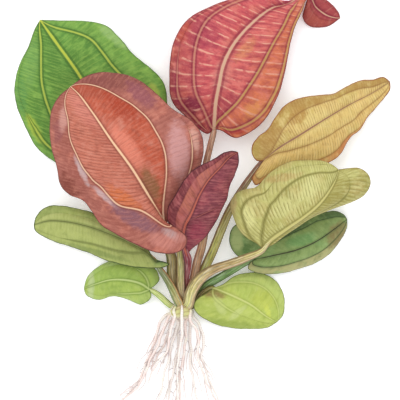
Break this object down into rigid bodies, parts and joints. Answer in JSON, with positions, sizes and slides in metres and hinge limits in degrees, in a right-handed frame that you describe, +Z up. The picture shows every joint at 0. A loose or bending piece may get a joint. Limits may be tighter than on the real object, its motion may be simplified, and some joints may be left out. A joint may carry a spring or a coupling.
{
  "type": "aquarium plant",
  "caption": "Bare-root rosette aquarium plant with arching veined green, ochre and red-purple leaves on stalks, lying flat with its roots spread.",
  "frame": {"origin": "middle of the bounding box's footprint, on the surface that the plant lies on", "axes": "+Z up from the surface that the plant lies on, +Y from the roots towards the leaf tips, +X to the right seen from above"},
  "size_m": [0.2834, 0.3264, 0.0735],
  "materials": {
    "green_leaf": "satin fresh green leaf",
    "russet_leaf": "satin red-brown leaf with cream veins",
    "purple_leaf": "satin dark purple leaf with an orange-red midrib",
    "red_leaf": "satin crimson-pink leaf with cream veins",
    "yellow_leaf": "satin ochre leaf with brown veins",
    "folded_leaf": "satin yellow-green leaf with fine cross veins",
    "dark_leaf": "satin dark blue-green leaf",
    "round_leaf": "satin light lime-green leaf",
    "olive_leaf": "satin olive-green leaf",
    "curved_leaf": "satin light green leaf with a pale margin",
    "stalk": "satin olive-tan ribbed stalk",
    "purple_stalk": "satin dark red stalk",
    "dark_stalk": "satin dark green stalk",
    "crown": "matt pinkish-tan stem",
    "root": "satin off-white root"
  },
  "bodies": {
    "root": {"crown": "crown", "leaf_green_blade": "green_leaf", "leaf_green_stalk": "stalk", "leaf_russet_blade": "russet_leaf", "leaf_russet_stalk": "stalk", "leaf_purple_blade": "purple_leaf", "leaf_purple_stalk": "purple_stalk", "leaf_red_blade": "red_leaf", "leaf_red_stalk": "stalk", "leaf_yellow_blade": "yellow_leaf", "leaf_yellow_stalk": "stalk", "leaf_folded_blade": "folded_leaf", "leaf_folded_stalk": "stalk", "leaf_dark_blade": "dark_leaf", "leaf_dark_stalk": "dark_stalk", "leaf_round_blade": "round_leaf", "leaf_round_stalk": "stalk", "leaf_olive_blade": "olive_leaf", "leaf_olive_stalk": "stalk", "leaf_curved_blade": "curved_leaf", "leaf_curved_stalk": "stalk", "root_01": "root", "root_02": "root", "root_03": "root", "root_04": "root", "root_05": "root", "root_06": "root", "root_07": "root", "root_08": "root", "root_09": "root", "root_10": "root", "root_11": "root"}
  },
  "joints": []
}
